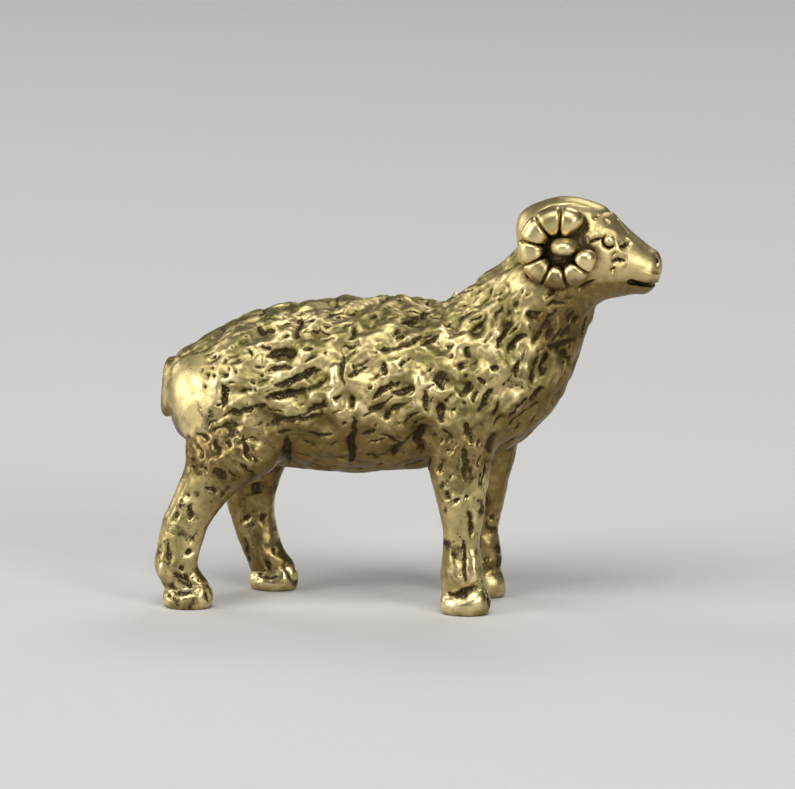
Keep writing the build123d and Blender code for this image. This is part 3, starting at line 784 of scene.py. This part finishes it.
# Strands: fine noise drawn out along the lie of the wool
strands = np.zeros(len(P))
for step in range(-3, 4):
    strands += noise(P + run * (step * 0.22), 0.36) / 7
billow = 0.5 * noise(W, 1.8) + 0.3 * noise(W + 17, 0.95) - 0.4
on_top = smooth(0.2, 0.8, N[:, 2])
on_tail = smooth(-18.8, -19.4, P[:, 0]) * smooth(1.9, 1.2, aside)
wool = (0.14 + 0.12 * on_top) * (strands - 0.5) + 0.3 * billow
on_leg = (1 - woolly) * smooth(11.5, 9.5, P[:, 2]) * smooth(1.2, 2.4, P[:, 2])
flaws = 0.06 * noise(W, 1.2) + 0.04 * noise(W + 5, 0.45) - 0.05
raised += PAD_RISE * pad
height = raised + woolly * (1 - 0.7 * on_tail) * wool + on_leg * flaws - cut - valley

# Carved features are only skin deep, and each piece dips a little under its neighbour past their seam
LOWEST, HIGHEST = -0.6, 0.5
start = 0
carved = {}
for name in BODY:
    piece = pieces[name]
    size = len(piece.points)
    own = slice(start, start + size)
    start += size
    dip = DIP * smooth(0.02, LAP, piece.past)
    shift = np.clip(height[own], LOWEST, HIGHEST) * piece.bare - dip
    piece.points = piece.points + piece.normals * shift[:, None]
    carved[name] = np.clip((cut[own] + 0.5 * valley[own]) * piece.bare, 0, 1)
    piece.woolly = woolly[own]
    piece.pad = pad[own]


def spread(values, faces, rounds):
    """Values evened out over the edges of a mesh."""
    a = np.concatenate([faces[:, i] for i in range(4)])
    b = np.concatenate([faces[:, (i + 1) % 4] for i in range(4)])
    number = np.maximum(np.bincount(a, minlength=len(values)), 1)
    for n in range(rounds):
        if values.ndim == 1:
            values = 0.5 * values + 0.5 * np.bincount(a, values[b], len(values)) / number
        else:
            mean = [np.bincount(a, values[b, c], len(values)) / number for c in range(values.shape[1])]
            values = 0.5 * values + 0.5 * np.stack(mean, axis=1)
    return values


def hollows(points, faces, normals, rounds):
    """How far each point lies under the evened-out surface."""
    return np.sum((spread(points, faces, rounds) - points) * normals, axis=1)


def make_object(name, points, faces, material, marks):
    """A mesh object in metres with marks stored on its points."""
    mesh = bpy.data.meshes.new(name)
    mesh.from_pydata((points * MM).tolist(), [], faces)
    mesh.shade_smooth()
    for mark, values in marks.items():
        stored = np.clip(values, 0, 1).astype(np.float32)
        mesh.attributes.new(mark, "FLOAT", "POINT").data.foreach_set("value", stored)
    mesh.materials.append(material)
    made = bpy.data.objects.new(name, mesh)
    bpy.context.scene.collection.objects.link(made)
    return made


# Antique brass

class Nodes:
    """A short way to write a material's nodes."""

    def __init__(self, name):
        self.material = bpy.data.materials.new(name)
        self.material.use_nodes = True
        self.tree = self.material.node_tree
        self.shader = self.tree.nodes["Principled BSDF"]

    def add(self, kind, **settings):
        node = self.tree.nodes.new(kind)
        for key, value in settings.items():
            setattr(node, key, value)
        return node

    def feed(self, socket, value):
        if isinstance(value, bpy.types.NodeSocket):
            self.tree.links.new(value, socket)
        else:
            socket.default_value = value

    def math(self, operation, a, b=0.0, clamp=False):
        node = self.add("ShaderNodeMath", operation=operation, use_clamp=clamp)
        self.feed(node.inputs[0], a)
        self.feed(node.inputs[1], b)
        return node.outputs[0]

    def span(self, value, low, high, out_low=0.0, out_high=1.0):
        node = self.add("ShaderNodeMapRange", interpolation_type="SMOOTHSTEP")
        for socket, given in zip(node.inputs, (value, low, high, out_low, out_high)):
            self.feed(socket, given)
        return node.outputs[0]

    def mix(self, share, a, b):
        node = self.add("ShaderNodeMix", data_type="RGBA")
        self.feed(node.inputs["Factor"], share)
        self.feed(node.inputs[6], a)
        self.feed(node.inputs[7], b)
        return node.outputs[2]

    def mark(self, name):
        return self.add("ShaderNodeAttribute", attribute_name=name).outputs["Fac"]

    def noise(self, place, size, detail=2.0):
        node = self.add("ShaderNodeTexNoise")
        self.feed(node.inputs["Vector"], place)
        self.feed(node.inputs["Scale"], 1 / (size * MM))
        self.feed(node.inputs["Detail"], detail)
        return node.outputs["Fac"]

    def cells(self, place, size):
        node = self.add("ShaderNodeTexVoronoi")
        self.feed(node.inputs["Vector"], place)
        self.feed(node.inputs["Scale"], 1 / (size * MM))
        return node.outputs["Distance"]


# The pale gold is both rubbed brass and painted highlight; the brown is painted shade.
PALE_WEAR_HIGHLIGHT = (0.93, 0.79, 0.43, 1)
GOLD = (0.80, 0.635, 0.30, 1)
OLIVE = (0.24, 0.21, 0.065, 1)
SHADE_BROWN = (0.17, 0.105, 0.03, 1)
UMBER = (0.055, 0.036, 0.014, 1)


def antique_brass(name, tarnish, pitted, polish, grain):
    """Cast brass: pale gold for rubbing and painted highlight, olive if dull, brown as painted shade,
    black-brown in hollows.
    """
    n = Nodes(name)
    place = n.add("ShaderNodeTexCoord").outputs["Object"]
    hollow = n.mark("hollow")
    wear_and_highlight = n.mark("wear_and_highlight")
    shade = n.mark("shade")
    broad = n.noise(place, 2.4, 3)
    mottle = n.noise(place, 0.55, 5)
    fine = n.noise(place, 0.13, 3)
    blotch = n.span(n.noise(place, 1.3, 10), 0.54, 0.68)
    patchy = n.span(n.noise(place, 1.4), 0.48, 0.6)
    spots = n.math("MULTIPLY", n.span(n.cells(place, 0.45), 0.26, 0.12), patchy)
    # Rubbing on raised places, which also paints pale highlights there.
    rub_and_highlight = n.math("MULTIPLY", wear_and_highlight, n.span(n.noise(place, 1.7, 3), 0.38, 0.58))
    spared = n.span(rub_and_highlight, 0.1, 0.8, pitted, 0.1 * pitted)
    spots = n.math("MULTIPLY", n.math("MAXIMUM", spots, blotch), spared)
    dull = n.math("ADD", n.span(broad, 0.35, 0.65, 0, tarnish), n.math("MULTIPLY", mottle, 0.3))
    dull = n.math("SUBTRACT", dull, n.math("MULTIPLY", rub_and_highlight, 0.6), clamp=True)
    dark = n.math("ADD", hollow, n.math("MULTIPLY", n.math("SUBTRACT", mottle, 0.5), 1.1))
    dark = n.math("ADD", dark, n.math("MULTIPLY", n.math("SUBTRACT", fine, 0.5), 0.7))
    dark = n.math("MAXIMUM", n.span(dark, 0.2, 0.85), spots)
    dark = n.math("MULTIPLY", dark, n.span(n.noise(place, 0.17), 0.56, 0.68, 1.0, 0.45))
    # Painted shade: brown laid where the shade mark says, on undersides, under overhangs, in the throat
    # and on the jaw.
    painted_shade = n.math("ADD", shade, n.math("MULTIPLY", n.math("SUBTRACT", mottle, 0.5), 0.8), clamp=True)
    colour = n.mix(dull, n.mix(n.span(rub_and_highlight, 0.2, 1.0, 0.0, 0.9), GOLD, PALE_WEAR_HIGHLIGHT), OLIVE)
    colour = n.mix(n.math("MULTIPLY", painted_shade, 0.9), colour, SHADE_BROWN)
    colour = n.mix(dark, colour, UMBER)
    n.feed(n.shader.inputs["Base Color"], colour)
    n.feed(n.shader.inputs["Metallic"], n.math("SUBTRACT", 1.0, n.math("MULTIPLY", dark, 0.1)))
    rough = n.math("ADD", n.math("MULTIPLY", dull, 0.08), n.math("MULTIPLY", dark, 0.16))
    rough = n.math("ADD", rough, n.span(fine, 0.3, 0.7, polish, polish + 0.1))
    n.feed(n.shader.inputs["Roughness"], rough)
    relief = n.math("SUBTRACT", n.math("MULTIPLY", fine, grain), n.math("MULTIPLY", spots, 0.9))
    relief = n.math("ADD", relief, n.math("MULTIPLY", mottle, grain))
    bump = n.add("ShaderNodeBump")
    n.feed(bump.inputs["Strength"], 0.6)
    n.feed(bump.inputs["Distance"], 0.06 * MM)
    n.feed(bump.inputs["Height"], relief)
    n.feed(n.shader.inputs["Normal"], bump.outputs["Normal"])
    return n.material


FINISH = {
    "fleece_brass": antique_brass("fleece_brass_antique", 0.8, 0.5, 0.34, 0.4),
    "face_brass": antique_brass("face_brass_antique", 0.05, 0.2, 0.36, 0.1),
    "horn_brass": antique_brass("horn_brass_antique", 0.2, 0.0, 0.3, 0.08),
    "leg_brass": antique_brass("leg_brass_antique", 0.6, 1.0, 0.26, 0.25),
}


def slot_of(name):
    """The record's material slot of a node."""
    if name in ("torso", "neck", "tail"):
        return "fleece_brass"
    if name.endswith("horn"):
        return "horn_brass"
    if name.endswith("leg") or name.endswith("hoof"):
        return "leg_brass"
    return "face_brass"


def stand_in(name, points, faces, marks):
    """A finished piece in the place of its node."""
    slot = slot_of(name)
    made = make_object(f"cast_{name}", points, faces, FINISH[slot], marks)
    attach(made, "root")
    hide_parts(name)


# The curl of the horns round the ears, and the form of the pillows that they are made of
SKULL = np.array([12.63, 0, 29.52])
CURL_RADIUS, CURL_START, CURL_RISE = 2.35, 47.0, 0.5
RIDGES, RIDGE_PITCH = 8, 39.5
ROOT_RADIUS, TIP_RADIUS = 1.1, 0.75
INSET = 0.12
HORN_OUT, HORN_SPREAD = 3.4, 0.9
PILLOW_SWELL = 1.04

# The throat under the jaw and horns, where shade is painted
THROAT = np.array([13.6, 0, 24.2])
THROAT_SIZE = np.array([3.4, 9.0, 2.6])


def body_marks(name, piece):
    """How hollow, how much rubbing with painted highlight, and how much painted shade each place of a
    cast piece has, for its material.
    """
    points, normals = piece.points, piece.normals
    small = hollows(points, piece.faces, normals, 4)
    large = hollows(points, piece.faces, normals, 24)
    shut = closed_in(points, normals)
    hollow = 0.9 * smooth(0.04, 0.24, carved[name]) + 4 * np.clip(small, 0, 1) + 4 * np.clip(large, 0, 1)
    hollow += 0.6 * smooth(0.3, 0.8, shut)
    # Rubbing on convex places, with painted highlight on them and on the smooth rump pad.
    wear_and_highlight = smooth(0.015, 0.07, -large) + 0.5 * piece.pad
    # Painted shade: darker on undersides, under overhangs, on the lower flank and belly, and on the front
    # of the neck.
    roofed = closed_in(points, normals, (1.6,))
    shade = smooth(0.0, -0.7, normals[:, 2]) + smooth(0.2, 0.7, roofed)
    low_down = 0.8 * smooth(18.0, 14.0, points[:, 2])
    shade += piece.woolly * (low_down + 0.4 * smooth(7, 13, points[:, 0]))
    # Painted shade in the throat, laid on both the shade and the hollow marks.
    in_lee = smooth(1.3, 0.5, np.linalg.norm((points - THROAT) / THROAT_SIZE, axis=1))
    shade += in_lee
    hollow += 0.3 * in_lee
    if name == "head":
        from_curl = np.hypot(points[:, 0] - SKULL[0], points[:, 2] - SKULL[2] - CURL_RISE)
        hollow += 0.7 * smooth(3.2, 2.2, from_curl)
        # Painted shade on the jaw below the mouth.
        shade += smooth(27.6, 26.6, points[:, 2])
    if name in HOOVES:
        # The hooves are made pale all over, as wear and painted highlight.
        wear_and_highlight += 0.8
    if name in LEGS:
        # Painted shade on the inner sides of the legs.
        inward = -normals[:, 1] * np.sign(points[:, 1])
        shade += 0.8 * smooth(0.0, 0.6, inward)
    return {"hollow": hollow, "wear_and_highlight": wear_and_highlight, "shade": spread(shade, piece.faces, 12)}


for name, piece in pieces.items():
    stand_in(name, piece.points, piece.faces.tolist(), body_marks(name, piece))

# Horns, ears and eyes

RING, STEPS = 44, 26
BALL_ROWS, BALL_RING = 32, 48


def ring_mesh(rows):
    """A closed form from rows of rings, with one point over each end."""
    rings, around = rows.shape[:2]
    first, last = rings * around, rings * around + 1
    faces = []
    for a in range(around):
        b = (a + 1) % around
        for r in range(rings - 1):
            faces.append((r * around + a, r * around + b, (r + 1) * around + b, (r + 1) * around + a))
        faces.append((first, b, a))
        faces.append(((rings - 1) * around + a, (rings - 1) * around + b, last))
    return np.concatenate([rows.reshape(-1, 3), [rows[0].mean(0), rows[-1].mean(0)]]), faces


def horn(side):
    """A curled horn of pillows that meet in sharp grooves."""
    rows, deep = [], []
    for n in range(1, RIDGES * STEPS):
        pillow = n / STEPS
        share = np.clip((pillow - 0.5) / (RIDGES - 1), 0, 1)
        turn = radians(CURL_START + pillow * RIDGE_PITCH)
        radius = ROOT_RADIUS + share * (TIP_RADIUS - ROOT_RADIUS)
        edge = abs(2 * (pillow % 1) - 1)
        end = min(1, min(pillow, RIDGES - pillow) / 0.5)
        if end < 1:
            edge = 0
        swell = PILLOW_SWELL * sqrt(1 - (1 - end) ** 2)
        reach = CURL_RADIUS - INSET
        centre = SKULL + np.array([reach * cos(turn), 0, CURL_RISE + reach * sin(turn)])
        centre[1] = side * (HORN_OUT + (share - 0.5) * HORN_SPREAD)
        outward = (radius + INSET) * np.array([cos(turn), 0, sin(turn)])
        aside = np.array([0, side * radius, 0])
        ring = []
        for a in range(RING):
            angle = 2 * pi * a / RING
            radial = np.sign(cos(angle)) * abs(cos(angle)) ** 0.85
            notch = edge ** (6.5 + 2.5 * cos(angle))
            size = swell - (0.42 - 0.1 * cos(angle)) / radius * notch
            ring.append(centre + size * (radial * outward + sin(angle) * aside))
            deep.append(smooth(0.25, 0.8, notch) + 0.8 * smooth(-0.3, -1.0, cos(angle)))
        rows.append(ring)
    points, faces = ring_mesh(np.array(rows))
    if side > 0:
        faces = [face[::-1] for face in faces]
    return points, faces, np.array([*deep, 0, 0])


def ball(centre, sizes, power=1.0):
    """A rounded lobe with an even mesh; a power under 1 fills out its shoulders."""
    rows = []
    for i in range(1, BALL_ROWS):
        tilt = pi * (i / BALL_ROWS - 0.5)
        ring = []
        for a in range(BALL_RING):
            angle = 2 * pi * a / BALL_RING
            way = np.array([cos(tilt) * cos(angle), sin(tilt), cos(tilt) * sin(angle)])
            way = np.sign(way) * np.abs(way) ** power
            ring.append(centre + sizes * way)
        rows.append(ring)
    return ring_mesh(np.array(rows))


for side, word in ((-1, "right"), (1, "left")):
    points, faces, deep = horn(side)
    # The lower petals get painted shade; the crests of the pillows are made pale as wear and painted
    # highlight.
    marks = {"hollow": deep, "wear_and_highlight": 0.6 - deep, "shade": smooth(28.6, 27.4, points[:, 2])}
    stand_in(f"{word}_horn", points, faces, marks)
    for what, power in (("ear", 0.85), ("eye", 1.0)):
        low, high = (np.array(corner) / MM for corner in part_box(f"{word}_{what}"))
        centre, half = (low + high) / 2, (high - low) / 2
        points, faces = ball(centre, half, power)
        shut = smooth(0.45, 1.0, closed_in(points, (points - centre) / half))
        under = smooth(-0.2, -0.8, (points[:, 2] - centre[2]) / half[2])
        # The lower half gets painted shade; open places are made pale as wear and painted highlight,
        # which brightens the eye bead.
        marks = {"hollow": 0.6 * shut, "wear_and_highlight": 1.2 - shut, "shade": 0.6 * under}
        stand_in(f"{word}_{what}", points, faces, marks)

# Stage, light and camera

FLOOR_SIZE, FLOOR_GAP = 12, 0.00002
LAMP_AIM = Vector((0, 0, 0.018))
SENSOR = 36
bpy.ops.mesh.primitive_plane_add(size=FLOOR_SIZE, location=(0, 0, -FLOOR_GAP))
floor = bpy.context.object
floor.name = "floor"
paint = Nodes("pale_floor")
paint.feed(paint.shader.inputs["Base Color"], (0.74, 0.73, 0.71, 1))
paint.feed(paint.shader.inputs["Roughness"], 0.85)
floor.data.materials.append(paint.material)

world = bpy.data.worlds.new("studio")
bpy.context.scene.world = world
world.use_nodes = True
world.node_tree.nodes["Background"].inputs["Color"].default_value = (0.06, 0.06, 0.063, 1)
world.node_tree.nodes["Background"].inputs["Strength"].default_value = 1.0


def lamp(name, azimuth, elevation, distance, size, power):
    """A soft square lamp that looks at the middle of the figure."""
    data = bpy.data.lights.new(name, "AREA")
    data.size = size
    data.energy = power
    made = bpy.data.objects.new(name, data)
    a, e = radians(azimuth), radians(elevation)
    made.location = LAMP_AIM + distance * Vector((sin(a) * cos(e), -cos(a) * cos(e), sin(e)))
    made.rotation_euler = (LAMP_AIM - made.location).to_track_quat("-Z", "Y").to_euler()
    bpy.context.scene.collection.objects.link(made)


lamp("key", -56, 21, 1.5, 1.0, 12)
lamp("side", -112, 22, 1.5, 0.8, 5)
lamp("top", 0, 60, 1.5, 0.8, 10)
lamp("fill", 44, 22, 1.5, 0.6, 7)
lamp("rim", 165, 50, 1.5, 0.6, 4)

data = bpy.data.cameras.new("photo_camera")
camera = bpy.data.objects.new("photo_camera", data)
bpy.context.scene.collection.objects.link(camera)
middle = sight(FRAME_PX[0] / 2, FRAME_PX[1] / 2)
camera.location = Vector(EYE_POINT * MM)
camera.rotation_euler = Vector(middle).to_track_quat("-Z", "Y").to_euler()
data.sensor_width = SENSOR
data.lens = SENSOR * DISTANCE / (FRAME_PX[0] * PIXEL) / -(middle @ BACK)
data.clip_start = 0.01
bpy.context.scene.camera = camera
bpy.context.scene.view_settings.view_transform = "Standard"
